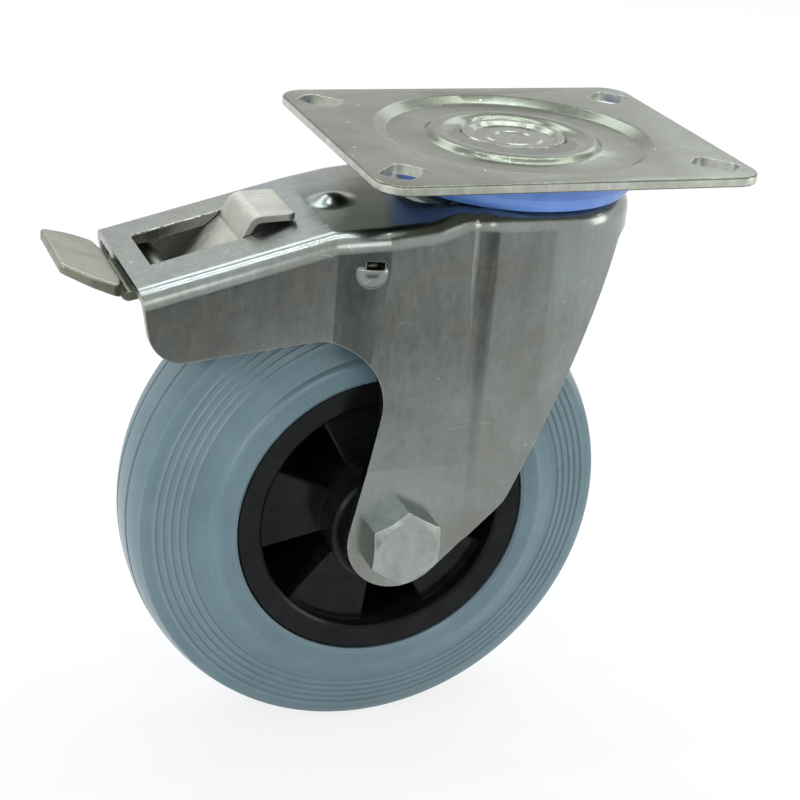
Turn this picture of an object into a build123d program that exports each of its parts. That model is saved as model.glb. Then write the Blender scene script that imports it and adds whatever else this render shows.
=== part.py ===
from build123d import *
import os
from math import asin, atan, atan2, cos, hypot, radians, sin, sqrt

os.makedirs("parts", exist_ok=True)

# Swivel castor with a wheel brake, in millimetres.
# The origin is the middle of the top plate's upper face, on the swivel axis. Z is up,
# X runs along the plate's long side, and the brake arm points to -X.

# Wheel
wheel_diameter = 125.0
tyre_width = 37.0
tread_radius = 61.6
shoulder_radius = 60.6
shoulder_width = 11.6
groove_offset = 4.57
groove_half = 0.8
groove_depth = 1.0
ring_count = 5
ring_radius = 49.7
ring_pitch = 1.86
ring_width = 13.0
ring_lean = 0.45
ring_half = 0.45
ring_height = 0.3
bead_height = 9.6
bead_round = 1.8
rim_diameter = 75.6
rim_width = 35.6
rim_wall = 6.4
rim_lip = 2.4
tyre_seat = 3.0
hub_diameter = 30.6
web_thickness = 3.0
web_recess = 4.0
rib_thickness = 2.6
panel_count = 10
panel_start = 12.0
panel_edge = 0.7

# Axle
axle_drop = 94.0
trail = 33.0
bolt_diameter = 10.0
hex_flats = 17.0
bolt_head_height = 6.6
nut_height = 10.0
thread_end = 2.5
washer_diameter = 20.0
washer_thickness = 2.0
thrust_washer_radius = 12.0
thrust_washer_thickness = 2.8
sleeve_diameter = 15.0
roller_diameter = 3.4
roller_end_space = 7.0
roller_count = 11
cap_thickness = 3.0
cap_width = 3.4
cap_radius = 13.6

# Top plate
plate_length = 97.0
plate_depth = 82.0
plate_thickness = 2.5
plate_corner = 7.0
plate_edge = 0.6
bolt_spacing_x = 80.0
bolt_spacing_y = 60.0
slot_width = 9.0
slot_length = 11.5
track_outer_radius = 34.5
track_inner_radius = 20.6
track_depth = 1.8
track_slope = 3.0
track_round = 1.6
land_depth = 0.4

# Swivel head
crown_radius = 30.0
crown_depth = 11.0
crown_edge = 4.5
crown_hole_radius = 12.5
pin_head_radius = 13.0
pin_head_thickness = 1.5
pin_neck_radius = 6.0
pin_shoulder_radius = 8.0
pin_rivet_radius = 9.0
pin_rivet_height = 3.0
pin_dish_radius = 10.0
pin_dish_depth = 0.9
pin_ring_radius = 5.8
pin_ring_height = 0.3
ball_diameter = 7.0
ball_circle = 24.0
ball_count = 20
lower_ball_diameter = 5.0
lower_ball_circle = 17.0
lower_ball_count = 18
cup_thickness = 2.5
seal_radius = 31.0
seal_wall = 2.0
seal_lip_radius = 27.9

# Fork, pressed from one sheet
sheet = 2.5
bend_radius = 4.5
cheek_half_width = 27.4
cheek_flare = 2.2
flare_depth = 75.0
arm_half_width = 24.6
arm_reach = 97.5
arm_top_depth = 14.3
arm_kink_x = -52.0
arm_kink_depth = 17.0
arm_end_depth = 28.9
flare_end_x = -40.0
flare_shift = 3.6
crease_x = -20.5
crease_run = 4.5
crease_step = 2.8
crease_round = 4.0
panel_round = 6.0
rise_start_x = -28.5
rise_end_x = -21.0
rise_round = 11.0
skirt_depth = 20.0
leg_end_radius = 13.3
arm_corner_inset = 3.1
arm_corner_depth = 46.7
arch_corner = (-35.5, -40.3)
knee = (-5.8, -86.1)
skirt_corner = (22.0, -20.0)
slit_rise = 1.4
slit_length = 4.2
slit_height = 1.6
dimple_x = -46.0
dimple_radius = 6.6
dimple_height = 2.0

# Brake
window_length = 26.0
window_width = 20.2
window_inset = 5.5
window_y = 1.1
pivot_x = -43.4
pivot_depth = 25.6
pivot_diameter = 4.0
pocket_radius = 4.9
pocket_height = 1.6
leaf_thickness = 1.6
leaf_side_gap = 0.4
leaf_bend = 3.0
leaf_corner = 2.2
leaf_end_inset = 40.3
leaf_end_gap = 0.35
leaf_hump_inset = 30.1
leaf_hump_depth = 17.7
leaf_crease_inset = 27.4
leaf_crease_depth = 23.2
leaf_turn_inset = 10.5
leaf_turn_depth = 38.0
foot_start_angle = 133.5
foot_end_angle = 138.5
brake_gap = 4.6
pedal_sheet = 2.5
lever_half_width = 21.5
pedal_half_width = 16.0
pedal_tip_half_width = 12.3
pedal_neck = 11.0
pedal_reach = 15.8
pedal_tip_depth = 24.8
pedal_slope = 0.37
pedal_edge = 0.7
pedal_bend_reach = 1.7
lever_web = 6.5
lever_drop = 1.6
lever_depth = 9.0
eye_radius = 5.5
cross_pin_radius = 2.0
cross_pin_inset = 10.7
cross_pin_depth = 33.1

# Fits
running_fit = 0.05
slip_fit = 0.1
seat_gap = 0.3

# Sizes that follow from the ones above
wheel_radius = wheel_diameter / 2
rim_radius = rim_diameter / 2
pocket_outer = rim_radius - rim_wall
hub_radius = hub_diameter / 2
axle_x = -trail
axle_z = -axle_drop
leg_outer = cheek_half_width + cheek_flare
leg_inner = leg_outer - sheet
hub_length = 2 * (leg_inner - thrust_washer_thickness - seat_gap)
roller_length = hub_length - 2 * roller_end_space
track_under = -track_depth - plate_thickness
seat_z = -land_depth - pin_head_thickness
ball_z = track_under - running_fit - ball_diameter / 2
crown_under = -crown_depth - sheet
lower_ball_z = crown_under - running_fit - lower_ball_diameter / 2
cup_top = lower_ball_z - running_fit - lower_ball_diameter / 2
roller_circle = sleeve_diameter / 2 + running_fit + roller_diameter / 2
bore_radius = roller_circle + roller_diameter / 2 + running_fit
arm_slope = (arm_end_depth - arm_kink_depth) / (arm_reach + arm_kink_x)
arm_corner = (arm_corner_inset - arm_reach, -arm_corner_depth)
window_x = window_inset + window_length / 2 - arm_reach
leaf_width = window_width - 2 * leaf_side_gap
leaf_end_x = leaf_end_inset - arm_reach
leaf_crease = (leaf_crease_inset - arm_reach, -leaf_crease_depth)
far = wheel_diameter + arm_reach


def save(part, name):
    part.label = name
    export_step(part, f"parts/{name}.step")


def arm_top(x):
    """Height of the arm's upper face above a place on its middle line."""
    if x > arm_kink_x:
        rise = (arm_kink_depth - arm_top_depth) / (-crown_radius - arm_kink_x)
        return -arm_kink_depth + rise * (x - arm_kink_x)
    return -arm_kink_depth + arm_slope * (x - arm_kink_x)


# Top plate: a pressed steel plate. A ring pressed down round the middle is the upper
# ball track, the middle holds the king pin's head, and four slots take the bolts.
with BuildPart() as top_plate:
    plate_hole = track_outer_radius + track_round
    with BuildSketch(Plane.XY.offset(-plate_thickness)):
        RectangleRounded(plate_length, plate_depth, plate_corner)
        Circle(plate_hole, mode=Mode.SUBTRACT)
    extrude(amount=plate_thickness)
    rims = top_plate.edges().filter_by(
        lambda e: abs(e.center().Z + plate_thickness / 2) > plate_edge and not e.is_closed)
    fillet(rims, plate_edge)
    with BuildSketch(Plane.XZ) as ring:
        with BuildLine():
            Polyline(
                (pin_neck_radius + slip_fit, seat_z),
                (pin_head_radius + seat_gap, seat_z),
                (pin_head_radius + 2 * seat_gap, -land_depth),
                (track_inner_radius, -land_depth),
                (track_inner_radius + track_slope / 2, -track_depth),
                (track_outer_radius - track_slope, -track_depth),
                (track_outer_radius, 0),
                (plate_hole, 0),
                (plate_hole, -plate_thickness),
                (track_outer_radius, -plate_thickness),
                (track_outer_radius - track_slope, track_under),
                (pin_neck_radius + slip_fit, track_under),
                close=True,
            )
        make_face()
        for spot in (
            (track_inner_radius, -land_depth),
            (track_inner_radius + track_slope / 2, -track_depth),
            (track_outer_radius - track_slope, -track_depth),
            (track_outer_radius, 0),
        ):
            fillet(ring.vertices().sort_by_distance(spot)[0], track_round)
    revolve(axis=Axis.Z)
    with BuildSketch(Plane.XY):
        with GridLocations(bolt_spacing_x, bolt_spacing_y, 2, 2):
            SlotOverall(slot_length, slot_width)
    extrude(amount=-plate_thickness, mode=Mode.SUBTRACT)
save(top_plate.part, "top_plate")

# King pin: turned steel, with a dished head let into the plate, a shoulder that keeps
# plate and lower cup apart, and a lower end riveted over.
with BuildPart() as king_pin:
    dish_z = -land_depth - pin_dish_depth
    with BuildSketch(Plane.XZ):
        with BuildLine():
            Polyline(
                (0, dish_z),
                (pin_ring_radius - 1.8, dish_z),
                (pin_ring_radius - 1.2, dish_z + pin_ring_height),
                (pin_ring_radius + 1.2, dish_z + pin_ring_height),
                (pin_ring_radius + 1.8, dish_z),
                (pin_dish_radius, dish_z),
                (pin_dish_radius + 1.2, -land_depth),
                (pin_head_radius - 0.5, -land_depth),
                (pin_head_radius, -land_depth - 0.5),
                (pin_head_radius, seat_z),
                (pin_neck_radius, seat_z),
                (pin_neck_radius, track_under),
                (pin_shoulder_radius, track_under),
                (pin_shoulder_radius, cup_top),
                (pin_neck_radius, cup_top),
                (pin_neck_radius, cup_top - cup_thickness),
                (pin_rivet_radius, cup_top - cup_thickness),
                (pin_rivet_radius - 1.5, cup_top - cup_thickness - pin_rivet_height),
                (0, cup_top - cup_thickness - pin_rivet_height),
                close=True,
            )
        make_face()
    revolve(axis=Axis.Z)
save(king_pin.part, "king_pin")

# Two rings of steel balls, one above the fork's crown and one below it.
with BuildPart() as upper_balls:
    with Locations((0, 0, ball_z)):
        with PolarLocations(ball_circle, ball_count):
            Sphere(ball_diameter / 2)
save(upper_balls.part, "upper_balls")

with BuildPart() as lower_balls:
    with Locations((0, 0, lower_ball_z)):
        with PolarLocations(lower_ball_circle, lower_ball_count):
            Sphere(lower_ball_diameter / 2)
save(lower_balls.part, "lower_balls")

# Lower cup: a pressed steel dish, riveted on the king pin, that carries the lower balls.
with BuildPart() as lower_cup:
    cup_wall = lower_ball_circle + lower_ball_diameter / 2 + seat_gap
    with BuildSketch(Plane.XZ):
        with BuildLine():
            Polyline(
                (pin_neck_radius + slip_fit, cup_top),
                (cup_wall - 0.8, cup_top),
                (cup_wall, cup_top + 0.8),
                (cup_wall, lower_ball_z + 0.5),
                (cup_wall + cup_thickness, lower_ball_z + 0.5),
                (cup_wall + cup_thickness, cup_top - cup_thickness / 3),
                (cup_wall, cup_top - cup_thickness),
                (pin_neck_radius + slip_fit, cup_top - cup_thickness),
                close=True,
            )
        make_face()
    revolve(axis=Axis.Z)
save(lower_cup.part, "lower_cup")

# Seal ring: a soft moulded ring that keeps dirt out of the upper balls.
with BuildPart() as seal_ring:
    with BuildSketch(Plane.XZ):
        with BuildLine():
            Polyline(
                (seal_lip_radius, -crown_depth),
                (seal_lip_radius + 1.4, -crown_depth),
                (seal_radius - 0.5, -crown_depth + 1.6),
                (seal_radius, -crown_depth + 3.2),
                (seal_radius, track_under - seat_gap),
                (seal_radius - seal_wall, track_under - seat_gap),
                (seal_radius - seal_wall, -crown_depth + 2.4),
                (seal_lip_radius, -crown_depth + 1.4),
                close=True,
            )
        make_face()
    revolve(axis=Axis.Z)
save(seal_ring.part, "seal_ring")


def arm_plan(inset, flare, end):
    """Outline of the arm seen from above, out to its cheeks, from one end inward."""
    half = [
        (end, arm_half_width - inset),
        (arm_kink_x, arm_half_width - inset),
        (flare_end_x - flare_shift * flare, cheek_half_width + flare - inset),
        (crease_x / 2, cheek_half_width + flare - inset),
    ]
    return half + [(x, -y) for x, y in reversed(half)]


def arm_body(inset):
    """The arm as a solid block, drawn in by an inset, with its long top edges rounded.

    Near the crown its top rises to the crown's height.
    """
    end = -arm_reach - inset
    inner_end = crease_x / 2
    drop = inset / cos(atan(arm_slope))
    with BuildPart() as body:
        with BuildSketch(Plane.XY):
            Polygon(*arm_plan(inset, 0, end), align=None)
        extrude(amount=-far)
        with BuildSketch(Plane.XZ.offset(-far / 2)) as side:
            rise_z = -crown_depth - seat_gap
            rise = (
                (arm_kink_x, -arm_kink_depth - drop),
                (rise_start_x, arm_top(rise_start_x) - drop),
                (rise_end_x, rise_z - drop),
            )
            Polygon(
                (end, arm_top(end) - drop),
                *rise,
                (inner_end, rise_z - drop),
                (inner_end, -far),
                (end, -far),
                align=None,
            )
            for spot in rise[1:]:
                fillet(side.vertices().sort_by_distance(spot)[0], rise_round)
        extrude(amount=far, mode=Mode.INTERSECT)
        tops = body.faces().filter_by(lambda f: f.normal_at().Z > 0.8)
        bends = tops.edges().filter_by(lambda e: abs(e.center().Y) > arm_half_width / 2)
        fillet(bends, bend_radius - inset)
    return body.part


def flare_body(inset):
    """The fronts of the legs, which lean outward a little on their way down."""
    end = arm_kink_x - 1
    with BuildPart() as body:
        for z, flare in ((-skirt_depth - bend_radius, 0), (-flare_depth, cheek_flare)):
            with BuildSketch(Plane.XY.offset(z)):
                Polygon(*arm_plan(inset, flare, end), align=None)
        loft(ruled=True)
        with BuildSketch(Plane.XY.offset(-flare_depth)):
            Polygon(*arm_plan(inset, cheek_flare, end), align=None)
        extrude(amount=-far)
    return body.part


def head_body(inset):
    """The crown over the ball tracks and, below it, the rear panels of the legs.

    Round at the front and flat at the sides, it ends on the arm's side in two soft
    creases, where it steps in to the arm's cheeks.
    """
    crease = [
        (0, crown_radius),
        (crease_x + crease_run, crown_radius),
        (crease_x, crown_radius - crease_step),
        (crease_x, 0),
    ]
    with BuildPart() as body:
        with BuildSketch(Plane.XY.offset(-crown_depth - inset)) as outline:
            Circle(crown_radius)
            Polygon(*crease, *[(x, -y) for x, y in reversed(crease)], align=None)
            inner_corner = (crease_x, sqrt(crown_radius**2 - crease_x**2))
            for spot, radius in (
                (crease[1], panel_round), (crease[2], crease_round), (inner_corner, sheet)):
                for side in (-1, 1):
                    corner = (spot[0], side * spot[1])
                    fillet(outline.vertices().sort_by_distance(corner)[0], radius)
            if inset > 0:
                offset(amount=-inset)
        extrude(amount=-far)
        fillet(body.edges().group_by(Axis.Z)[-1], crown_edge - inset)
    return body.part


def dimple_body(inset):
    """The round bump on the arm's top, with its rim blended into the sheet."""
    slope = atan2(arm_kink_depth - arm_top_depth, -crown_radius - arm_kink_x)
    middle = (dimple_x + inset * sin(slope), 0, arm_top(dimple_x) - inset * cos(slope))
    upward = (-sin(slope), 0, cos(slope))
    with BuildPart() as body:
        with BuildSketch(Plane(origin=middle, x_dir=(cos(slope), 0, sin(slope)), z_dir=(0, -1, 0))):
            with BuildLine():
                half_way = (dimple_radius / 2, dimple_height / 2)
                top = TangentArc((0, dimple_height), half_way, tangent=(1, 0))
                rim = TangentArc(half_way, (dimple_radius, 0), tangent=top % 1)
                Polyline(rim @ 1, (dimple_radius, -1), (0, -1), (0, dimple_height))
            make_face()
        revolve(axis=Axis(middle, upward))
    return body.part


def pocket_body(inset):
    """The two half-round pockets pressed out of the arm's cheeks for the brake's pivot."""
    cheek = arm_half_width + (cheek_half_width - arm_half_width) * (
        (pivot_x - arm_kink_x) / (flare_end_x - arm_kink_x))
    with BuildPart() as body:
        for side in (-1, 1):
            with Locations((pivot_x, side * (cheek + pocket_height - pocket_radius), -pivot_depth)):
                Sphere(pocket_radius - inset)
        if inset == 0:
            with Locations((pivot_x, 0, slit_rise - pivot_depth)):
                Box(far, far, far, align=(Align.CENTER, Align.CENTER, Align.MAX), mode=Mode.INTERSECT)
    return body.part


def tangent_point(x, z, turn):
    """Where a line from a point touches the round lower end of the leg."""
    reach = hypot(axle_x - x, axle_z - z)
    angle = atan2(axle_z - z, axle_x - x) + turn * asin(leg_end_radius / reach)
    length = sqrt(reach**2 - leg_end_radius**2)
    return (x + length * cos(angle), z + length * sin(angle))


def side_profile():
    """Outline of the fork seen from the side, as a solid across its whole width."""
    with BuildPart() as body:
        with BuildSketch(Plane.XZ.offset(-far / 2)) as outline:
            with BuildLine():
                front = tangent_point(*arch_corner, -1)
                rear = tangent_point(*knee, 1)
                ThreePointArc(front, (axle_x, axle_z - leg_end_radius), rear)
                Polyline(
                    rear, knee, skirt_corner, (far, -skirt_depth), (far, 0), (-arm_reach, 0),
                    (-arm_reach, -arm_end_depth), arm_corner, arch_corner, front)
            make_face()
            for spot, radius in (
                (arm_corner, 8.5), (arch_corner, 16), (knee, 11), (skirt_corner, 3)):
                fillet(outline.vertices().sort_by_distance(spot)[0], radius)
        extrude(amount=far)
    return body.part


# Fork: crown, arm and both legs pressed from one sheet, so it is built as an outer shape
# less the same shape drawn in by the sheet's thickness, then trimmed to its outline.
# The crown's hole, the ball tracks, the arm's window and the other holes follow.
with BuildPart() as fork:
    shapes = (arm_body, flare_body, head_body, dimple_body, pocket_body)
    for make in shapes:
        add(make(0))
    for make in shapes:
        add(make(sheet), mode=Mode.SUBTRACT)
    add(side_profile(), mode=Mode.INTERSECT)
    Cylinder(crown_hole_radius, far, mode=Mode.SUBTRACT)
    with Locations((0, 0, ball_z)):
        Torus(ball_circle, ball_diameter / 2 + running_fit, mode=Mode.SUBTRACT)
    with Locations((axle_x, 0, axle_z)):
        Cylinder(bolt_diameter / 2 + slip_fit, far, rotation=(90, 0, 0), mode=Mode.SUBTRACT)
    with Locations((window_x, window_y, -arm_end_depth / 2)):
        Box(window_length, window_width, 2 * arm_end_depth, mode=Mode.SUBTRACT)
    with Locations((pivot_x, 0, slit_rise + slit_height / 2 - pivot_depth)):
        Box(slit_length, far, slit_height, mode=Mode.SUBTRACT)
save(fork.part, "fork")


def axle_revolve(half):
    """Closed outline for a wheel part: radius and distance from the middle, mirrored."""
    return Polyline(*half, *[(r, -y) for r, y in reversed(half)], close=True)


wheel_plane = Plane(origin=(axle_x, 0, axle_z), x_dir=(1, 0, 0), z_dir=(0, 0, 1))
side_plane = Plane(origin=(axle_x, 0, axle_z), x_dir=(1, 0, 0), z_dir=(0, -1, 0))
axle = Axis((axle_x, 0, axle_z), (0, 1, 0))

# One of the gaps between the wheel's ribs, as a flat shape.
panel_step = 360 / panel_count
with BuildSketch() as sector:
    with BuildLine():
        inner = CenterArc((0, 0), hub_radius - 0.4, 0, panel_step)
        outer = CenterArc((0, 0), pocket_outer + 0.4, 0, panel_step)
        Line(inner @ 0, outer @ 0)
        Line(inner @ 1, outer @ 1)
    make_face()

# Wheel centre: moulded plastic. A rim with a channel for the tyre, a hub, and between
# them ten ribs with a thin wall in every gap, near one face and the other by turns.
with BuildPart() as wheel_centre:
    with BuildSketch(wheel_plane):
        with BuildLine():
            axle_revolve([
                (pocket_outer, rim_width / 2 - 0.8),
                (pocket_outer + 0.8, rim_width / 2),
                (rim_radius - 0.6, rim_width / 2),
                (rim_radius, rim_width / 2 - 0.6),
                (rim_radius, rim_width / 2 - rim_lip),
                (rim_radius - tyre_seat, rim_width / 2 - rim_lip - 0.8),
            ])
        make_face()
        with BuildLine():
            axle_revolve([
                (bore_radius, hub_length / 2 - cap_width),
                (cap_radius, hub_length / 2 - cap_width),
                (cap_radius, hub_length / 2),
                (hub_radius - 0.8, hub_length / 2),
                (hub_radius, hub_length / 2 - 0.8),
            ])
        make_face()
    revolve(axis=axle)
    rib_half = rim_width / 2 - web_recess
    with BuildSketch(side_plane.offset(-rib_half)):
        with PolarLocations(0, panel_count, start_angle=panel_start):
            with Locations(((hub_radius + pocket_outer) / 2, 0)):
                Rectangle(pocket_outer - hub_radius + 1.6, rib_thickness)
    extrude(amount=2 * rib_half)
    for side in (0, 1):
        with BuildSketch(side_plane.offset(rib_half - web_thickness if side == 0 else -rib_half)):
            with PolarLocations(0, panel_count // 2, start_angle=panel_start + side * panel_step):
                add(sector.sketch)
        extrude(amount=web_thickness)
    rib_edges = wheel_centre.edges().filter_by(GeomType.LINE).filter_by(
        lambda e: abs(abs(e.center().Y) - rib_half) < 0.01 and e.length > rib_thickness)
    fillet(rib_edges, panel_edge)
save(wheel_centre.part, "wheel_centre")

# Tyre: solid grey rubber with rounded shoulders, five fine rings on each side and a
# shallow groove on each side of the tread.
with BuildPart() as tyre:
    half_width = tyre_width / 2
    groove_edge = groove_offset + groove_half
    rings = [(shoulder_radius - 1.4, shoulder_width + 0.8)]
    for i in reversed(range(ring_count)):
        r = ring_radius + i * ring_pitch
        y = ring_width + (ring_count - 1 - i) * ring_lean
        rings += [(r + ring_half, y), (r + ring_half / 2, y + ring_height)]
        rings += [(r - ring_half / 2, y + ring_height), (r - ring_half, y)]
    rings.append((rim_radius + bead_height, half_width - bead_height / 3))
    rings.append((rim_radius + bead_round * 3.6, half_width - bead_round))
    with BuildSketch(wheel_plane):
        for side in (-1, 1):
            with BuildLine():
                tread = ThreePointArc(
                    (wheel_radius, 0),
                    (wheel_radius - 0.05, side * groove_offset / 2),
                    (wheel_radius - 0.15, side * (groove_offset - groove_half)))
                groove = ThreePointArc(
                    tread @ 1,
                    (wheel_radius - groove_depth, side * groove_offset),
                    (wheel_radius - 0.3, side * groove_edge))
                outer = ThreePointArc(
                    groove @ 1,
                    (tread_radius, side * 8.6),
                    (shoulder_radius, side * shoulder_width))
                wall = Polyline(outer @ 1, *[(r, side * y) for r, y in rings])
                bead = ThreePointArc(
                    wall @ 1,
                    (rim_radius + bead_round * 3, side * (half_width - bead_round / 4)),
                    (rim_radius + bead_round * 2, side * half_width))
                Polyline(
                    bead @ 1,
                    (rim_radius + 0.8, side * half_width),
                    (rim_radius, side * (half_width - 0.5)),
                    (rim_radius, side * (rim_width / 2 - rim_lip)),
                    (rim_radius - tyre_seat, side * (rim_width / 2 - rim_lip - 0.8)),
                    (rim_radius - tyre_seat, 0),
                    (wheel_radius, 0),
                )
            make_face()
    revolve(axis=axle)
save(tyre.part, "tyre")

# Hub bearing: rollers in a plastic cage between the sleeve and the hub's bore, with a
# cap pressed into each end of the hub.
with BuildPart() as bearing_rollers:
    with Locations(side_plane):
        with PolarLocations(roller_circle, roller_count):
            Cylinder(roller_diameter / 2, roller_length)
save(bearing_rollers.part, "bearing_rollers")

with BuildPart() as roller_cage:
    cage_half = roller_length / 2 + 1.8
    with BuildSketch(side_plane.offset(-cage_half)):
        Circle(bore_radius - 0.5)
        Circle(sleeve_diameter / 2 + 0.5, mode=Mode.SUBTRACT)
    extrude(amount=2 * cage_half)
    with Locations(side_plane):
        with PolarLocations(roller_circle, roller_count):
            Cylinder(
                roller_diameter / 2 + running_fit, roller_length + 2 * slip_fit, mode=Mode.SUBTRACT)
save(roller_cage.part, "roller_cage")

with BuildPart() as hub_caps:
    for face in (-hub_length / 2 + 0.4, hub_length / 2 - 0.4 - cap_thickness):
        with BuildSketch(side_plane.offset(face)):
            Circle(cap_radius)
            Circle(sleeve_diameter / 2 + running_fit, mode=Mode.SUBTRACT)
        extrude(amount=cap_thickness)
save(hub_caps.part, "hub_caps")

# Axle: a hexagon bolt through both legs, a steel sleeve between them, a thrust washer
# at each end of the hub, and a washer and a nut on the far side.
with BuildPart() as axle_sleeve:
    with BuildSketch(side_plane.offset(-leg_inner)):
        Circle(sleeve_diameter / 2)
        Circle(bolt_diameter / 2 + slip_fit, mode=Mode.SUBTRACT)
    extrude(amount=2 * leg_inner)
save(axle_sleeve.part, "axle_sleeve")

with BuildPart() as thrust_washers:
    for face in (-leg_inner, hub_length / 2 + seat_gap):
        with BuildSketch(side_plane.offset(face)):
            Circle(thrust_washer_radius)
            Circle(sleeve_diameter / 2 + running_fit, mode=Mode.SUBTRACT)
        extrude(amount=thrust_washer_thickness)
save(thrust_washers.part, "thrust_washers")

with BuildPart() as nut_washer:
    with BuildSketch(side_plane.offset(-leg_outer - washer_thickness)):
        Circle(washer_diameter / 2)
        Circle(bolt_diameter / 2 + slip_fit, mode=Mode.SUBTRACT)
    extrude(amount=washer_thickness)
save(nut_washer.part, "nut_washer")


def hexagon(start, height, faces):
    """A hexagon block on the axle, with its corners turned down at the given faces."""
    corner = hex_flats / 2 / cos(radians(30))
    with BuildPart() as body:
        with BuildSketch(side_plane.offset(start)):
            RegularPolygon(hex_flats / 2, 6, major_radius=False, rotation=30)
        extrude(amount=height)
        turned = Solid.make_cylinder(corner, height, side_plane.offset(start))
        rims = [e for e in turned.edges().filter_by(GeomType.CIRCLE)
                if any(abs(e.center().Y + face) < 0.1 for face in faces)]
        add(turned.chamfer(0.8, 1.4, rims), mode=Mode.INTERSECT)
    return body.part


with BuildPart() as axle_bolt:
    add(hexagon(leg_outer, bolt_head_height, [leg_outer + bolt_head_height]))
    tip = leg_outer + washer_thickness + nut_height + thread_end
    with BuildSketch(side_plane.offset(-tip)):
        Circle(bolt_diameter / 2)
    extrude(amount=tip + leg_outer)
    chamfer(axle_bolt.edges().group_by(Axis.Y)[-1], 1)
save(axle_bolt.part, "axle_bolt")

with BuildPart() as axle_nut:
    nut_start = -leg_outer - washer_thickness - nut_height
    add(hexagon(nut_start, nut_height, [nut_start]))
    with BuildSketch(side_plane.offset(nut_start)):
        Circle(bolt_diameter / 2 + slip_fit)
    extrude(amount=nut_height, mode=Mode.SUBTRACT)
save(axle_nut.part, "axle_nut")

# Brake pivot: a plain steel pin held in the pockets of the fork's cheeks.
with BuildPart() as brake_pivot:
    pin_half = lever_half_width + 3.2
    with Locations((pivot_x, 0, -pivot_depth)):
        Cylinder(pivot_diameter / 2, 2 * pin_half, rotation=(90, 0, 0))
    chamfer(brake_pivot.edges().filter_by(GeomType.CIRCLE), 0.4)
save(brake_pivot.part, "brake_pivot")


def arm_under(x):
    """Height of the arm's lower face on its middle line."""
    return arm_top(x) - sheet / cos(atan(arm_slope))


# Brake lever: one pressed piece. The pedal outside the arm narrows to a neck, dips
# under the arm's end and joins two long flanges that reach back to the pivot pin.
with BuildPart() as brake_lever:
    web_end = lever_web - arm_reach
    bend_x = -arm_reach - pedal_bend_reach
    dip_x = -arm_reach
    tip_x = -arm_reach - pedal_reach
    dip_z = arm_under(dip_x) - lever_drop
    web_z = arm_under(web_end) - lever_drop
    bend_z = pedal_slope * (tip_x - bend_x) - pedal_tip_depth
    with BuildSketch(Plane.XZ.offset(-pedal_half_width)) as plate:
        Polygon(
            (tip_x, -pedal_tip_depth),
            (bend_x, bend_z),
            (dip_x, dip_z),
            (web_end, web_z),
            (web_end, web_z - pedal_sheet),
            (dip_x - 0.4, dip_z - pedal_sheet),
            (bend_x - 1.2, bend_z - pedal_sheet),
            (tip_x, -pedal_tip_depth - pedal_sheet),
            align=None,
        )
        for spot in ((bend_x, bend_z), (dip_x - 0.4, dip_z - pedal_sheet)):
            fillet(plate.vertices().sort_by_distance(spot)[0], 2)
    extrude(amount=2 * pedal_half_width)
    with BuildSketch(Plane.XY) as outline:
        half = [
            (web_end + 5, pedal_neck),
            (bend_x - 0.2, pedal_neck),
            (bend_x - 1.2, pedal_half_width),
            (tip_x + 6.5, pedal_half_width - 0.4),
            (tip_x, pedal_tip_half_width),
        ]
        Polygon(*half, *[(x, -y) for x, y in reversed(half)], align=None)
        for side in (-1, 1):
            for (x, y), radius in zip(half[1:], (0.9, 2, 10, 1.6)):
                fillet(outline.vertices().sort_by_distance((x, side * y))[0], radius)
    extrude(amount=-far, mode=Mode.INTERSECT)
    pedal_top = brake_lever.faces().filter_by(
        lambda f: f.center().X < bend_x and f.normal_at().Z > 0.8).sort_by(SortBy.AREA)[-1]
    fillet(pedal_top.edges().filter_by(lambda e: e.center().X < bend_x - 3), pedal_edge)
    for side in (-1, 1):
        with BuildSketch(Plane.XZ.offset(side * lever_half_width)) as flange:
            kink_z = arm_under(arm_kink_x) - lever_drop
            Polygon(
                (web_end, web_z),
                (arm_kink_x, kink_z),
                (pivot_x, eye_radius - pivot_depth),
                (pivot_x, -eye_radius - pivot_depth),
                (arm_kink_x - eye_radius, kink_z - lever_depth),
                (web_end, web_z - lever_depth),
                (dip_x + pedal_sheet, web_z - lever_depth / 2),
                (dip_x + pedal_sheet, dip_z - pedal_sheet),
                (dip_x + pedal_sheet, dip_z + arm_slope * pedal_sheet),
                align=None,
            )
            with Locations((pivot_x, -pivot_depth)):
                Circle(eye_radius)
                Circle(pivot_diameter / 2 + running_fit, mode=Mode.SUBTRACT)
            with Locations((cross_pin_inset - arm_reach, -cross_pin_depth)):
                Circle(cross_pin_radius, mode=Mode.SUBTRACT)
        extrude(amount=-side * pedal_sheet)
    with BuildSketch(Plane.XZ.offset(-lever_half_width)):
        Polygon(
            (dip_x + pedal_sheet, dip_z + arm_slope * pedal_sheet),
            (web_end, web_z),
            (web_end, web_z - pedal_sheet),
            (dip_x + pedal_sheet, dip_z + arm_slope * pedal_sheet - pedal_sheet),
            align=None,
        )
    extrude(amount=2 * lever_half_width)
save(brake_lever.part, "brake_lever")

with BuildPart() as brake_cross_pin:
    with Locations((cross_pin_inset - arm_reach, 0, -cross_pin_depth)):
        Cylinder(cross_pin_radius, 2 * lever_half_width, rotation=(90, 0, 0))
    chamfer(brake_cross_pin.edges().filter_by(GeomType.CIRCLE), 0.3)
save(brake_cross_pin.part, "brake_cross_pin")

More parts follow.
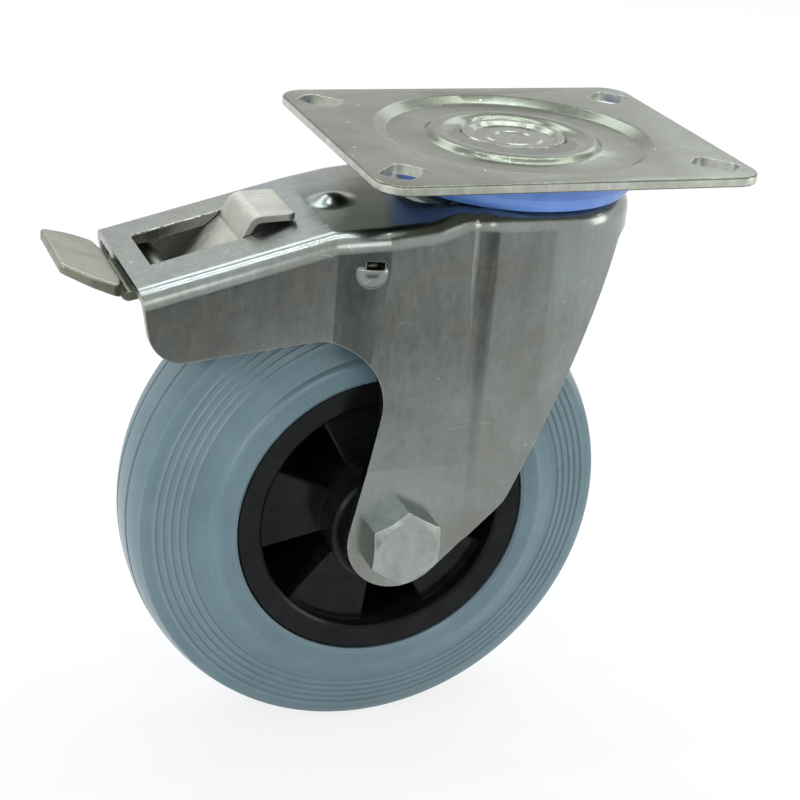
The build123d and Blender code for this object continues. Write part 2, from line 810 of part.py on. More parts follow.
# Brake leaf: a steel strip that lies on the arm, rolls over the window's edge, runs
# down through the window and turns in to a foot close above the tyre.
with BuildPart() as brake_leaf:
    foot_radius = wheel_radius + brake_gap + leaf_thickness / 2

    def around_wheel(angle):
        """A spot at an angle round the axle, seen from the side."""
        turn = radians(angle)
        return (axle_x + foot_radius * cos(turn), axle_z + foot_radius * sin(turn))

    end_z = arm_top(leaf_end_x) + leaf_end_gap + leaf_thickness / 2
    with BuildSketch(Plane.XZ.offset(-window_y - leaf_width / 2)):
        with BuildLine() as path:
            FilletPolyline(
                (leaf_end_x - leaf_thickness / 2, end_z),
                (leaf_hump_inset - arm_reach, -leaf_hump_depth),
                leaf_crease,
                radius=leaf_bend,
            )
            FilletPolyline(
                leaf_crease,
                (leaf_turn_inset - arm_reach, -leaf_turn_depth),
                around_wheel(foot_start_angle),
                around_wheel(foot_end_angle),
                radius=leaf_bend,
            )
            offset(amount=leaf_thickness / 2)
        make_face()
    extrude(amount=leaf_width)
    with BuildSketch(Plane.XY):
        with Locations((leaf_end_x, window_y)):
            RectangleRounded(far, leaf_width, leaf_corner, align=(Align.MAX, Align.CENTER))
    extrude(amount=-far, mode=Mode.INTERSECT)
save(brake_leaf.part, "brake_leaf")
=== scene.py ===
from math import cos, pi, radians, sin

import bmesh
import bpy
from mathutils import Matrix, Vector, noise


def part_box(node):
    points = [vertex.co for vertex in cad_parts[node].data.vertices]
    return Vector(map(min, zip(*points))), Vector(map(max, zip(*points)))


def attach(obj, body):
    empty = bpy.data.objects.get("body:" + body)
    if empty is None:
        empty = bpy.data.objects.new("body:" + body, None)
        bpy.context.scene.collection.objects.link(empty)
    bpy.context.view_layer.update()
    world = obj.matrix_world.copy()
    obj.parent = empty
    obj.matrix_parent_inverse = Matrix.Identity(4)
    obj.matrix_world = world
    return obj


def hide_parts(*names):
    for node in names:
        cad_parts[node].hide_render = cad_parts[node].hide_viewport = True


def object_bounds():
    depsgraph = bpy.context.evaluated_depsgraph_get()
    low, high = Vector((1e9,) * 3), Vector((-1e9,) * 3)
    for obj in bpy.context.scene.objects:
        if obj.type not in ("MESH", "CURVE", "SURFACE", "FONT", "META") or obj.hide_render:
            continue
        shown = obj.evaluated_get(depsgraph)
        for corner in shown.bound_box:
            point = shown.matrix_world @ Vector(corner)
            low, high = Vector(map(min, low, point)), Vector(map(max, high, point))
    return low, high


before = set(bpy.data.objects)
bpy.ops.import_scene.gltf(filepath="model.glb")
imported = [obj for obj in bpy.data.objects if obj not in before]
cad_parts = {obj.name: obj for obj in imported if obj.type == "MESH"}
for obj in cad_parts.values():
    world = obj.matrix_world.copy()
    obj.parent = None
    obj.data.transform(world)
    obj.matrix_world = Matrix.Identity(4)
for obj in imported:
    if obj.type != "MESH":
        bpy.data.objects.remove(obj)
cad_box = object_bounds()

# Top plate: sheet steel 2.5 mm thick, blanked, with the ball track pressed down round the
# middle, then zinc plated. The plating is grey-green and a little cloudy, with fine rolling
# lines along the plate and paler sheared edges. A few bright specks on it are painted glints.


def shader_group(name, inputs, outputs):
    """An empty node group with named inputs (name, kind, value) and outputs (name, kind)."""
    group = bpy.data.node_groups.new(name, "ShaderNodeTree")
    for label, kind, value in inputs:
        socket = group.interface.new_socket(label, in_out="INPUT", socket_type="NodeSocket" + kind)
        socket.default_value = value
    for label, kind in outputs:
        group.interface.new_socket(label, in_out="OUTPUT", socket_type="NodeSocket" + kind)
    start = group.nodes.new("NodeGroupInput")
    end = group.nodes.new("NodeGroupOutput")
    return group, start.outputs, end.inputs


def add_node(tree, kind, links=None, **settings):
    """One node with its settings, and its inputs linked or given values by name."""
    node = tree.nodes.new("ShaderNode" + kind)
    for key, value in settings.items():
        setattr(node, key, value)
    for key, value in (links or {}).items():
        if isinstance(value, bpy.types.NodeSocket):
            tree.links.new(value, node.inputs[key])
        else:
            node.inputs[key].default_value = value
    return node


def ramp(tree, factor, limits, values=(0.0, 1.0)):
    """Stretches a mask between two limits onto two values."""
    ends = dict(zip(("From Min", "From Max", "To Min", "To Max"), (*limits, *values)))
    return add_node(tree, "MapRange", {"Value": factor, **ends}).outputs["Result"]


def math_node(tree, operation, *values):
    """One sum or product of numbers and sockets."""
    return add_node(tree, "Math", dict(enumerate(values)), operation=operation).outputs[0]


def vector_node(tree, operation, *values):
    """One sum, product, dot product or length of vectors."""
    node = add_node(tree, "VectorMath", dict(enumerate(values)), operation=operation)
    return node.outputs["Value" if operation in ("DOT_PRODUCT", "LENGTH") else "Vector"]


def blend(tree, factor, first, second):
    """A colour between two others."""
    mix = add_node(tree, "MixRGB", {"Fac": factor, "Color1": first, "Color2": second})
    return mix.outputs["Color"]


def plain_noise(tree, place, scale, detail=3.0, roughness=0.6, distortion=0.0):
    """Cloudy noise, which is 0.5 on average."""
    cloud = add_node(tree, "TexNoise", {"Vector": place, "Scale": scale, "Detail": detail,
                                        "Roughness": roughness, "Distortion": distortion})
    return cloud.outputs["Fac"]


def noise_mask(tree, place, scale, limits, **kind):
    """Cloudy noise, stretched between two limits to a mask from 0 to 1."""
    return ramp(tree, plain_noise(tree, place, scale, **kind), limits)


def worn_edges():
    """A mask of edges, from 0 where the surface turns slightly to 1 where it turns fully."""
    group, given, result = shader_group(
        "worn_edges",
        [("Radius", "Float", 0.0005), ("Slight Turn", "Float", 0.99), ("Full Turn", "Float", 0.90)],
        [("Mask", "Float")])
    rounded = add_node(group, "Bevel", {"Radius": given["Radius"]}, samples=4).outputs[0]
    flat = add_node(group, "NewGeometry").outputs["Normal"]
    turn = vector_node(group, "DOT_PRODUCT", rounded, flat)
    mask = ramp(group, turn, (given["Slight Turn"], given["Full Turn"]))
    group.links.new(mask, result["Mask"])
    return group


def metal_finish():
    """Sheet steel: rolling grain, clouds, painted glints, fine scratches, worn edges and low waves.
    """
    group, given, result = shader_group(
        "metal_finish",
        [("Tint", "Color", (0.3, 0.3, 0.3, 1)), ("Warm Tint", "Color", (0.25, 0.25, 0.25, 1)),
         ("Edge Tint", "Color", (0.5, 0.5, 0.5, 1)), ("Edge Mask", "Float", 0.0),
         ("Stretch", "Vector", (0.04, 1, 1)), ("Grain", "Float", 0.5), ("Clouds", "Float", 0.5),
         ("Cloud Scale", "Float", 55), ("Scratches", "Float", 0.3), ("Specks", "Float", 0.2),
         ("Edges", "Float", 0.5), ("Roughness", "Float", 0.35)],
        [("Color", "Color"), ("Roughness", "Float"), ("Height", "Float")])
    place = add_node(group, "TexCoord").outputs["Object"]
    along = vector_node(group, "MULTIPLY", place, given["Stretch"])
    lines = noise_mask(group, along, 1000, (0.25, 0.75), detail=2, roughness=0.5)
    streaks = noise_mask(group, along, 240, (0.3, 0.7), detail=4)
    crystals = noise_mask(group, place, 480, (0.25, 0.75))
    cloud = noise_mask(group, place, given["Cloud Scale"], (0.36, 0.66), detail=6,
                       roughness=0.62, distortion=0.7)
    patch = math_node(group, "MULTIPLY", cloud, given["Clouds"])

    # Painted glints: small bright dots, of which chance keeps a few.
    dots = add_node(group, "TexVoronoi", {"Vector": place, "Scale": 230, "Randomness": 1.0})
    chance = noise_mask(group, dots.outputs["Position"], 900, (0.62, 0.65), detail=0)
    glint_spot = math_node(group, "MULTIPLY", ramp(group, dots.outputs["Distance"], (0.09, 0.05)), chance)
    painted_glint = math_node(group, "MULTIPLY", glint_spot, given["Specks"])

    # Hair scratches: thin lines where a smooth noise passes one level, broken up by another.
    bend = math_node(group, "SUBTRACT", plain_noise(group, place, 75, detail=0), 0.47)
    hair = ramp(group, math_node(group, "ABSOLUTE", bend), (0.0035, 0.0015))
    broken = noise_mask(group, place, 130, (0.60, 0.66), detail=1)
    scratch = math_node(group, "MULTIPLY", math_node(group, "MULTIPLY", hair, broken),
                        given["Scratches"])

    ragged = noise_mask(group, place, 420, (0.35, 0.6))
    edge = math_node(group, "MULTIPLY", given["Edge Mask"], given["Edges"])
    edge = math_node(group, "MULTIPLY", edge, ragged)
    tint = blend(group, patch, given["Tint"], given["Warm Tint"])
    tint = blend(group, edge, tint, given["Edge Tint"])
    tint = blend(group, scratch, tint, given["Edge Tint"])
    # Painted glints: the bright dots are laid over the colour as points of light.
    tint = blend(group, painted_glint, tint, (0.8, 0.8, 0.78, 1))
    grain = math_node(group, "ADD", math_node(group, "ADD", lines, streaks), crystals)
    grain = math_node(group, "MULTIPLY", math_node(group, "SUBTRACT", grain, 1.5), given["Grain"])
    shade = math_node(group, "MULTIPLY_ADD", grain, 0.14, 1.0)
    colour = add_node(group, "VectorMath", {0: tint, "Scale": shade}, operation="SCALE").outputs[0]
    rough = math_node(group, "MULTIPLY_ADD", grain, 0.05, given["Roughness"])
    rough = math_node(group, "MULTIPLY_ADD", patch, 0.10, rough)
    swell = plain_noise(group, place, 30, detail=1, roughness=0.4)
    ripple = plain_noise(group, place, 160, detail=2, roughness=0.5)
    height = math_node(group, "MULTIPLY_ADD", ripple, 0.12, swell)
    group.links.new(colour, result["Color"])
    group.links.new(rough, result["Roughness"])
    group.links.new(height, result["Height"])
    return group


def new_material(name, **values):
    """A material with one Principled shader; values are set on its own sockets."""
    material = bpy.data.materials.new(name)
    material.use_nodes = True
    shader = material.node_tree.nodes["Principled BSDF"]
    for key, value in values.items():
        shader.inputs[key.replace("_", " ")].default_value = value
    return material, material.node_tree, shader


edge_group = worn_edges()
metal_group = metal_finish()


def metal(name, tint, warm_tint, edge_tint, wave, **values):
    """A metal material from the shared finish, with its own values; wave is in millimetres."""
    material, tree, shader = new_material(name, Metallic=1.0)
    edges = add_node(tree, "Group", node_tree=edge_group)
    given = {label.replace("_", " "): value for label, value in values.items()}
    finish = add_node(tree, "Group", {
        "Tint": (*tint, 1), "Warm Tint": (*warm_tint, 1), "Edge Tint": (*edge_tint, 1),
        "Edge Mask": edges.outputs["Mask"], **given}, node_tree=metal_group)
    rounded = add_node(tree, "Bevel", {"Radius": 0.00035}, samples=4)
    relief = add_node(tree, "Bump", {"Height": finish.outputs["Height"], "Strength": 1.0,
                                     "Distance": wave / 1000, "Normal": rounded.outputs[0]})
    tree.links.new(finish.outputs["Color"], shader.inputs["Base Color"])
    tree.links.new(finish.outputs["Roughness"], shader.inputs["Roughness"])
    tree.links.new(relief.outputs["Normal"], shader.inputs["Normal"])
    return material


def dress(material, *names):
    """Gives CAD pieces a material in their own slots."""
    for name in names:
        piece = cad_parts[name]
        piece.data.materials.clear()
        piece.data.materials.append(material)


def mesh_object(name, mesh, *materials):
    """An object at the origin, made of a bmesh, which is used up."""
    data = bpy.data.meshes.new(name)
    mesh.to_mesh(data)
    mesh.free()
    for material in materials:
        data.materials.append(material)
    thing = bpy.data.objects.new(name, data)
    bpy.context.scene.collection.objects.link(thing)
    return thing


def finished(name, mesh, materials, body, replaced=(), sharp=30):
    """Makes a piece of a bmesh, smooth but for its sharp edges, on its body."""
    piece = mesh_object(name, mesh, *materials)
    piece.data.shade_smooth()
    piece.data.set_sharp_from_angle(angle=radians(sharp))
    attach(piece, body)
    if replaced:
        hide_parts(*replaced)


plate_steel = metal("plate_steel", (0.180, 0.195, 0.158), (0.113, 0.113, 0.076),
                    (0.50, 0.52, 0.48), wave=0.15, Stretch=(0.05, 1, 1), Grain=0.8, Clouds=0.7,
                    Roughness=0.20, Scratches=0.4, Specks=0.9, Edges=0.7)
sheared_steel = metal("sheared_steel", (0.58, 0.60, 0.54), (0.43, 0.45, 0.40),
                      (0.75, 0.75, 0.70), wave=0.1, Stretch=(1, 1, 0.15), Grain=1.2, Clouds=0.8,
                      Cloud_Scale=160, Roughness=0.36, Scratches=0.3, Specks=0.5, Edges=0.8)
merge_distance, cut_distance = 1e-6, 1e-7
slot_spots = [Vector((x, y, 0)) for x in (-0.040, 0.040) for y in (-0.030, 0.030)]
slot_length, slot_width, slot_corner = 0.0110, 0.0086, 0.0024
slot_reach, track_reach, punch_height = 0.007, 0.038, 0.02


def slot_punches():
    """Four punches with rounded corners, each turned to point from the plate's middle."""
    punches = bmesh.new()
    for spot in slot_spots:
        side = 1 if spot.x * spot.y > 0 else -1
        turned = Matrix.Translation(spot) @ Matrix.Rotation(side * pi / 4, 4, "Z")
        size = Matrix.Diagonal((slot_length, slot_width, punch_height, 1))
        shape = bmesh.ops.create_cube(punches, size=1.0, matrix=turned @ size)
        upright = dict.fromkeys(
            edge for corner in shape["verts"] for edge in corner.link_edges
            if abs(edge.verts[0].co.z - edge.verts[1].co.z) > punch_height / 2)
        bmesh.ops.bevel(punches, geom=list(upright), affect="EDGES", offset=slot_corner,
                        segments=6, profile=0.5, material=-1)
    return mesh_object("punches", punches)


plate = bmesh.new()
plate.from_mesh(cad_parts["top_plate"].data)
bmesh.ops.remove_doubles(plate, verts=plate.verts, dist=merge_distance)
straight_walls = [
    face for face in plate.faces if abs(face.normal.z) < 0.5
    and any((face.calc_center_median() - spot).xy.length < slot_reach for spot in slot_spots)]
bmesh.ops.delete(plate, geom=straight_walls, context="FACES")
bmesh.ops.holes_fill(plate, edges=[edge for edge in plate.edges if edge.is_boundary])
bmesh.ops.recalc_face_normals(plate, faces=plate.faces)
blank = mesh_object("blank", plate)
punches = slot_punches()
cut = blank.modifiers.new("slots", "BOOLEAN")
cut.object = punches
cut.operation = "DIFFERENCE"
cut.solver = "EXACT"
bpy.context.view_layer.update()
plate = bmesh.new()
plate.from_mesh(blank.evaluated_get(bpy.context.evaluated_depsgraph_get()).data)
for thing in (blank, punches):
    bpy.data.objects.remove(thing)
plate.normal_update()
for face in plate.faces:
    if abs(face.normal.z) < 0.3 and face.calc_center_median().xy.length > track_reach:
        face.material_index = 1
finished("mounting_plate", plate, [plate_steel, sheared_steel], "plate", ["top_plate"])

# King pin: turned from bar and riveted over, so its dished head carries fine turned
# rings. It stands in the middle of the plate, flush with it, and holds the lower cup.
pin_steel = metal("pin_steel", (0.22, 0.23, 0.19), (0.16, 0.165, 0.13), (0.62, 0.62, 0.58),
                  wave=0.1, Stretch=(1, 1, 1), Grain=0.8, Clouds=0.6, Roughness=0.22,
                  Scratches=0.5, Edges=0.6)
dress(pin_steel, "king_pin", "lower_cup")

# Balls: hardened and polished steel, in two rings above and below the crown. The rollers
# of the wheel's bearing are ground from the same steel.
ball_steel = metal("ball_steel", (0.55, 0.55, 0.55), (0.45, 0.45, 0.45), (0.62, 0.62, 0.58),
                   wave=0.0, Stretch=(1, 1, 1), Grain=0.1, Clouds=0.2, Roughness=0.12,
                   Scratches=0.0, Specks=0.0, Edges=0.0)
dress(ball_steel, "upper_balls", "lower_balls", "bearing_rollers")

# Seal ring: soft moulded plastic, light blue, slightly see-through to light. It is
# pushed in between plate and crown to keep dirt out of the balls.
seal_plastic, tree, shader = new_material("seal_plastic", Roughness=0.36, Coat_Weight=0.1,
                                          Subsurface_Weight=0.15, Subsurface_Scale=0.003)
deep_blue, light_blue = (0.12, 0.26, 0.70, 1), (0.18, 0.34, 0.80, 1)
place = add_node(tree, "TexCoord").outputs["Object"]
cloud = noise_mask(tree, place, 90, (0.35, 0.7), detail=4)
tree.links.new(blend(tree, cloud, deep_blue, light_blue), shader.inputs["Base Color"])
dress(seal_plastic, "seal_ring")

# Fork: one pressing of steel sheet with the crown, the brake arm and both legs. The
# sheet's fine rolling lines run along it, with smears and small scratches from handling.
# The punch left a thin torn burr along the far edge of the arm's window.
fork_steel = metal("fork_steel", (0.255, 0.288, 0.282), (0.215, 0.208, 0.178),
                   (0.55, 0.56, 0.52), wave=0.5, Stretch=(1, 1, 0.25), Grain=0.7, Clouds=0.8,
                   Cloud_Scale=34, Roughness=0.20, Scratches=0.5, Specks=0.3, Edges=0.6)
dress(fork_steel, "fork")
arm_slope, burr_middle = 0.2615, (-0.0795, 0.0115, -0.02415)
burr_length, burr_width, burr_thickness = 0.024, 0.0007, 0.00012
burr_foot, burr_height, burr_lean = 0.00004, 0.0007, 0.0004
burr = bmesh.new()
bmesh.ops.create_grid(burr, x_segments=110, y_segments=3, size=0.5,
                      matrix=Matrix.Diagonal((burr_length, burr_width, 1, 1)))
for vertex in burr.verts:
    across = vertex.co.y / burr_width + 0.5
    torn = noise.noise(Vector((vertex.co.x * 1100, across * 1.5, 3.0)))
    chipped = max(0.0, noise.noise(Vector((vertex.co.x * 260, 0.0, 7.0))) + 0.25)
    rise = burr_foot + burr_height * chipped * (1 - across) * (0.6 + torn)
    vertex.co.z = vertex.co.x * arm_slope + rise
    vertex.co.y += burr_lean * torn * (1 - across)
bmesh.ops.solidify(burr, geom=burr.faces[:], thickness=burr_thickness)
bmesh.ops.recalc_face_normals(burr, faces=burr.faces)
bmesh.ops.translate(burr, verts=burr.verts, vec=burr_middle)
finished("window_burr", burr, [sheared_steel], "swivel")

# Brake lever, leaf and pins: mild steel, zinc plated, duller and greener than the fork,
# with a cloudy surface from the plating bath and paler, worn edges. The leaf is rubbed
# bright.
brake_steel = metal("brake_steel", (0.30, 0.31, 0.25), (0.21, 0.22, 0.17), (0.62, 0.62, 0.55),
                    wave=0.2, Stretch=(0.2, 1, 0.2), Grain=1.0, Clouds=0.9, Cloud_Scale=90,
                    Roughness=0.34, Scratches=0.4, Specks=0.4, Edges=0.8)
leaf_steel = metal("leaf_steel", (0.50, 0.49, 0.44), (0.38, 0.375, 0.335), (0.34, 0.42, 0.37),
                   wave=0.2, Stretch=(0.2, 1, 0.2), Grain=1.0, Clouds=0.8, Cloud_Scale=80,
                   Roughness=0.30, Scratches=0.4, Specks=0.3, Edges=0.7)
dress(brake_steel, "brake_lever", "brake_pivot", "brake_cross_pin")
dress(leaf_steel, "brake_leaf")

# Axle bolt, nut and washers: bright plated fasteners, cold forged, with a faint grain.
# The bolt passes both legs and the sleeve that the wheel runs on. Its thread shows
# beyond the nut, and the corners of head and nut are turned down.
bolt_steel = metal("bolt_steel", (0.36, 0.39, 0.37), (0.26, 0.285, 0.27), (0.62, 0.66, 0.64),
                   wave=0.1, Stretch=(1, 1, 1), Grain=0.8, Clouds=0.7, Cloud_Scale=120,
                   Roughness=0.27, Edges=0.9)
dress(bolt_steel, "nut_washer", "axle_sleeve", "thrust_washers")
axle_x, axle_z = -0.033, -0.094
hex_flats, head_height, bolt_radius = 0.017, 0.0066, 0.005
chamfer_radius, chamfer_slant, chamfer_cuts = hex_flats * 0.44, radians(28), 60
thread_pitch, thread_depth, thread_steps = 0.0015, 0.0009, 24
thread_start, thread_overlap = 0.0004, 0.0002
tip_length, tip_radius, round_sides = 0.0006, bolt_radius - 0.0013, 48
along_axle = Matrix.Translation((axle_x, 0, axle_z)) @ Matrix.Rotation(pi / 2, 4, "X")


def rod(mesh, sides, start, end, radius, end_radius):
    """Adds a rod or a cone from start up to end, in the axle's own frame."""
    bmesh.ops.create_cone(mesh, cap_ends=True, segments=sides, radius1=radius,
                          radius2=end_radius, depth=abs(end - start),
                          matrix=Matrix.Translation((0, 0, (start + end) / 2)))


def cut_off(mesh, point, outward):
    """Cuts off what lies outward of a plane through a point, and closes the cut."""
    cut = bmesh.ops.bisect_plane(mesh, geom=mesh.verts[:] + mesh.edges[:] + mesh.faces[:],
                                 dist=cut_distance, plane_co=point, plane_no=outward,
                                 clear_outer=True)
    rim = [edge for edge in cut["geom_cut"] if isinstance(edge, bmesh.types.BMEdge)]
    if rim:
        bmesh.ops.holes_fill(mesh, edges=rim)


def hexagon(start, end):
    """A hexagon block along the axle, with its corners turned down to a cone at its end."""
    mesh = bmesh.new()
    corner = hex_flats / 2 / cos(pi / 6)
    rod(mesh, 6, start, end, corner, corner)
    outward = 1 if end > start else -1
    for step in range(chamfer_cuts):
        around = Matrix.Rotation(step * 2 * pi / chamfer_cuts, 3, "Z")
        slanted = around @ Vector((sin(chamfer_slant), 0, outward * cos(chamfer_slant)))
        cut_off(mesh, around @ Vector((chamfer_radius, 0, end)), slanted)
    return mesh


def thread(start, end):
    """A screw thread along the axle, cut flat at both ends."""
    mesh = bmesh.new()
    tooth = ((thread_depth, 0), (thread_depth, 0.15), (0, 0.5), (0, 0.65), (thread_depth, 1))
    ridge = [mesh.verts.new((bolt_radius - depth, 0, start - thread_pitch + thread_pitch * rise))
             for depth, rise in tooth]
    line = [mesh.edges.new(pair) for pair in zip(ridge, ridge[1:])]
    turns = round((end - start) / thread_pitch) + 2
    bmesh.ops.spin(mesh, geom=ridge + line, cent=(0, 0, 0), axis=(0, 0, 1),
                   angle=2 * pi * turns, dvec=(0, 0, thread_pitch / thread_steps),
                   steps=thread_steps * turns)
    bmesh.ops.remove_doubles(mesh, verts=mesh.verts, dist=merge_distance)
    cut_off(mesh, (0, 0, start), (0, 0, -1))
    cut_off(mesh, (0, 0, end), (0, 0, 1))
    return mesh


def fastener(name, mesh, replaced):
    """Lays a bolt or nut along the axle and finishes it."""
    bmesh.ops.recalc_face_normals(mesh, faces=mesh.faces)
    bmesh.ops.transform(mesh, matrix=along_axle, verts=mesh.verts)
    finished(name, mesh, [bolt_steel], "swivel", [replaced], sharp=20)


head_out, tip = -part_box("axle_bolt")[0][1], -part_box("axle_bolt")[1][1]
nut_in, nut_out = -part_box("axle_nut")[0][1], -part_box("axle_nut")[1][1]
leg_face = head_out - head_height
bolt = hexagon(leg_face, head_out)
rod(bolt, round_sides, nut_out, leg_face, bolt_radius, bolt_radius)
shank = thread(tip + thread_start, nut_out + thread_overlap)
data = bpy.data.meshes.new("thread")
shank.to_mesh(data)
shank.free()
bolt.from_mesh(data)
rod(bolt, round_sides, tip, tip + tip_length, tip_radius, bolt_radius - thread_depth)
fastener("hexagon_bolt", bolt, "axle_bolt")
fastener("hexagon_nut", hexagon(nut_in, nut_out), "axle_nut")

# Wheel centre: injection-moulded black plastic, glossy, with a light flow grain and some
# dust in its pockets. The tyre is pressed over its rim. The hub's caps and the roller
# cage are moulded from the same plastic.
black_plastic, tree, shader = new_material("black_plastic", Specular_IOR_Level=0.14)
deep_black, dusty_black = (0.005, 0.005, 0.006, 1), (0.013, 0.014, 0.014, 1)
place = add_node(tree, "TexCoord").outputs["Object"]
flow = noise_mask(tree, place, 140, (0.35, 0.7), detail=5)
fine = plain_noise(tree, place, 2200, detail=2, roughness=0.5)
tree.links.new(blend(tree, flow, deep_black, dusty_black), shader.inputs["Base Color"])
tree.links.new(ramp(tree, flow, (0, 1), (0.10, 0.24)), shader.inputs["Roughness"])
rounded = add_node(tree, "Bevel", {"Radius": 0.0006}, samples=4)
relief = add_node(tree, "Bump", {"Height": fine, "Normal": rounded.outputs[0],
                                 "Strength": 0.12, "Distance": 0.00004})
tree.links.new(relief.outputs["Normal"], shader.inputs["Normal"])
dress(black_plastic, "wheel_centre", "hub_caps", "roller_cage")

# Tyre: solid rubber, moulded in one piece, blue-grey and matt, with pale specks of dust
# and a faint mottling. The fine rings and grooves come from the mould. A painted highlight
# makes its ridges and edges paler.
tyre_rubber, tree, shader = new_material("tyre_rubber", Specular_IOR_Level=0.5)
deep_rubber, light_rubber = (0.120, 0.198, 0.232, 1), (0.160, 0.248, 0.282, 1)
painted_highlight_rubber, dust_colour = (0.28, 0.36, 0.39, 1), (0.50, 0.56, 0.58, 1)
place = add_node(tree, "TexCoord").outputs["Object"]
mottle = noise_mask(tree, place, 45, (0.35, 0.68), detail=6, roughness=0.65)
dots = add_node(tree, "TexVoronoi", {"Vector": place, "Scale": 420, "Randomness": 1.0})
sparse = noise_mask(tree, place, 120, (0.56, 0.62), detail=1)
dust = math_node(tree, "MULTIPLY", ramp(tree, dots.outputs["Distance"], (0.06, 0.03)), sparse)
# Painted highlight: the rubber is made paler along ridges and edges, as where light catches them.
edges = add_node(tree, "Group", node_tree=edge_group,
                 links={"Radius": 0.0012, "Slight Turn": 0.995, "Full Turn": 0.93})
painted_ridge_highlight = math_node(tree, "MULTIPLY", edges.outputs["Mask"], 0.5)
haze = noise_mask(tree, place, 22, (0.4, 0.65), detail=2, roughness=0.5)
rubber = blend(tree, mottle, deep_rubber, light_rubber)
rubber = blend(tree, painted_ridge_highlight, rubber, painted_highlight_rubber)
tree.links.new(blend(tree, dust, rubber, dust_colour), shader.inputs["Base Color"])
tree.links.new(ramp(tree, haze, (0, 1), (0.24, 0.42)), shader.inputs["Roughness"])
relief = add_node(tree, "Bump", {"Height": mottle, "Strength": 0.1, "Distance": 0.0003})
tree.links.new(relief.outputs["Normal"], shader.inputs["Normal"])
dress(tyre_rubber, "tyre")

# Studio: a pale floor under the castor and soft lamps. What the camera and the metal see
# behind the castor is white; the floor keeps the castor's shadow. A grey card lies on the
# floor in front, for the fork's cheeks to reflect. Only glossy rays meet it.
floor_level, floor_size, floor_white = cad_box[0][2], 8, 0.82
card_middle, card_width, card_depth = (-0.14, -0.58, floor_level + 0.002), 0.84, 0.80
card_dark, card_light = (0.03, 0.035, 0.035, 1), (0.26, 0.26, 0.24, 1)


def stage_sheet(name, centre, width, depth, material):
    """A flat rectangle of the studio, which faces up."""
    mesh = bmesh.new()
    shape = Matrix.Translation(centre) @ Matrix.Diagonal((width / 2, depth / 2, 1, 1))
    bmesh.ops.create_grid(mesh, x_segments=1, y_segments=1, size=1.0, matrix=shape)
    sheet = mesh_object(name, mesh, material)
    return sheet


def white_for_view(tree):
    """1 for rays from the camera, off metal and through glass, else 0."""
    rays = add_node(tree, "LightPath").outputs
    shiny = math_node(tree, "MAXIMUM", rays["Is Glossy Ray"], rays["Is Transmission Ray"])
    return math_node(tree, "MAXIMUM", rays["Is Camera Ray"], shiny)


floor_paint, tree, shader = new_material("floor_paint", Base_Color=(0.9, 0.9, 0.9, 1),
                                         Roughness=0.9, Specular_IOR_Level=0.0)
glow = add_node(tree, "Emission", {"Color": (1, 1, 1, 1), "Strength": 1.0})
share = math_node(tree, "MULTIPLY", white_for_view(tree), floor_white)
mixed = add_node(tree, "MixShader", {0: share, 1: shader.outputs[0], 2: glow.outputs[0]})
tree.links.new(mixed.outputs[0], tree.nodes["Material Output"].inputs["Surface"])
stage_sheet("floor", (0, 0, floor_level), floor_size, floor_size, floor_paint)

card_paint, tree, shader = new_material("card_paint", Roughness=0.9, Specular_IOR_Level=0.0)
place = add_node(tree, "TexCoord").outputs["Object"]
cloud = noise_mask(tree, place, 7, (0.40, 0.60), detail=2, roughness=0.4)
tree.links.new(blend(tree, cloud, card_dark, card_light), shader.inputs["Base Color"])
away = vector_node(tree, "SUBTRACT", place, card_middle)
away = vector_node(tree, "MULTIPLY", away, (2 / card_width, 2 / card_depth, 0))
inside = ramp(tree, vector_node(tree, "LENGTH", away), (1.0, 0.7))
nothing = add_node(tree, "BsdfTransparent")
faded = add_node(tree, "MixShader", {0: inside, 1: nothing.outputs[0], 2: shader.outputs[0]})
tree.links.new(faded.outputs[0], tree.nodes["Material Output"].inputs["Surface"])
card = stage_sheet("front_card", card_middle, card_width, card_depth, card_paint)
card.visible_camera = False
card.visible_diffuse = False
card.visible_transmission = False
card.visible_shadow = False

world = bpy.data.worlds.new("studio")
bpy.context.scene.world = world
world.use_nodes = True
tree = world.node_tree
tree.nodes.clear()
dim = add_node(tree, "Background", {"Color": (0.95, 0.97, 1.0, 1), "Strength": 0.5})
white = add_node(tree, "Background", {"Color": (1, 1, 1, 1), "Strength": 1.0})
mixed = add_node(tree, "MixShader", {0: white_for_view(tree), 1: dim.outputs[0],
                                     2: white.outputs[0]})
add_node(tree, "OutputWorld", {"Surface": mixed.outputs[0]})


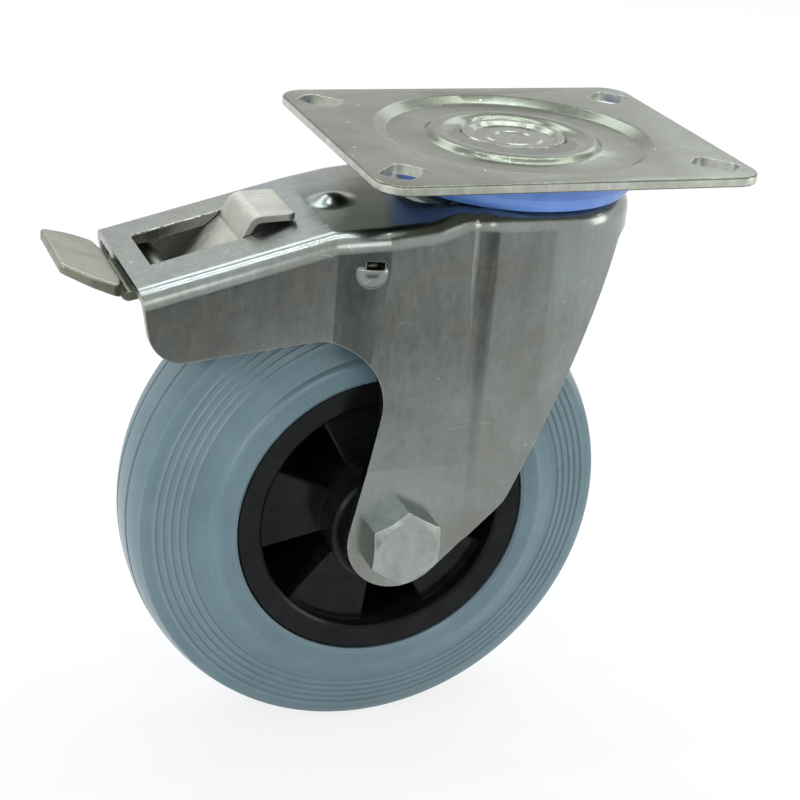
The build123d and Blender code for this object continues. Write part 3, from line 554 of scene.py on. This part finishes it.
def soft_lamp(name, place, target, size, radiance, tint=(1, 1, 1)):
    """A rectangular lamp that looks at a target, as bright as its face should look."""
    data = bpy.data.lights.new(name, "AREA")
    data.shape = "RECTANGLE"
    data.size, data.size_y = size
    data.energy = radiance * pi * size[0] * size[1]
    data.color = tint
    lamp = bpy.data.objects.new(name, data)
    bpy.context.scene.collection.objects.link(lamp)
    lamp.location = place
    lamp.rotation_euler = (Vector(target) - Vector(place)).to_track_quat("-Z", "Y").to_euler()


middle = (-0.03, 0, -0.07)
tube_size = (1.3, 0.04)
soft_lamp("back_lamp", (-0.35, 1.1, 1.05), middle, (1.3, 0.45), 3.5, (0.86, 0.96, 1.0))
soft_lamp("right_back_lamp", (0.75, 0.75, 0.55), middle, (0.6, 0.35), 2.1, (0.84, 0.94, 1.0))
soft_lamp("back_tube", (0.35, 0.27, 0.9), (0.35, 0.2, 0), tube_size, 24.0, (0.86, 0.95, 1.0))
soft_lamp("front_tube", (0.35, 0.0, 0.9), (0.35, 0.0, 0), tube_size, 20.0, (0.86, 0.95, 1.0))
soft_lamp("front_lamp", (-0.35, -1.3, 0.8), middle, (0.6, 0.5), 2.5)
soft_lamp("left_lamp", (-0.9, -0.35, 0.35), middle, (0.45, 0.6), 3.0)
soft_lamp("right_lamp", (0.85, -0.25, 0.15), middle, (0.25, 0.7), 3.0, (1.0, 0.97, 0.88))

# Camera: stands where the photograph was taken, left of the castor and above it, and is
# rolled and shifted a little to frame the castor as the photograph does.
camera_place = Vector((-0.193553, -0.419503, 0.123916))
yaw, pitch, roll = radians(23.956), radians(23.870), radians(5.733)
forward = Vector((sin(yaw) * cos(pitch), cos(yaw) * cos(pitch), -sin(pitch)))
level = forward.cross(Vector((0, 0, 1))).normalized()
upward = level.cross(forward)
right = cos(roll) * level + sin(roll) * upward
above = -sin(roll) * level + cos(roll) * upward
camera_data = bpy.data.cameras.new("camera")
camera_data.lens = 86.633
camera_data.sensor_width = 36
camera_data.shift_x = -0.0716
camera_data.shift_y = 0.0341
camera_data.clip_start = 0.01
camera = bpy.data.objects.new("camera", camera_data)
bpy.context.scene.collection.objects.link(camera)
camera.matrix_world = Matrix((
    (right.x, above.x, -forward.x, camera_place.x),
    (right.y, above.y, -forward.y, camera_place.y),
    (right.z, above.z, -forward.z, camera_place.z),
    (0, 0, 0, 1)))
bpy.context.scene.camera = camera
bpy.context.scene.view_settings.view_transform = "Standard"
